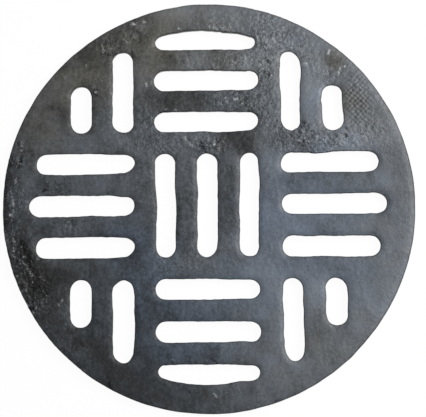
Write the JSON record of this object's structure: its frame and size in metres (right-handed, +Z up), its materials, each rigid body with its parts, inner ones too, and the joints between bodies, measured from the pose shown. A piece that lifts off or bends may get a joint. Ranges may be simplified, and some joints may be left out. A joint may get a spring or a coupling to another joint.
{
  "type": "drain grate",
  "caption": "Round flat cast-iron drain grate with slots in a basket weave: groups of parallel slots at right angles to their neighbours, and a plain rim band.",
  "frame": {"origin": "centre of the flat underside, on the plane that the grate rests on", "axes": "+Z up out of the walking face; +Y along the three slots in the middle, towards one crown slot; +X along the slots beside them"},
  "size_m": [0.248, 0.248, 0.0065],
  "materials": {
    "cast_iron": "as cast, with a worn thin black coating, half glossy on the left and duller on the right"
  },
  "bodies": {
    "root": {"grate": "cast_iron"}
  },
  "joints": []
}
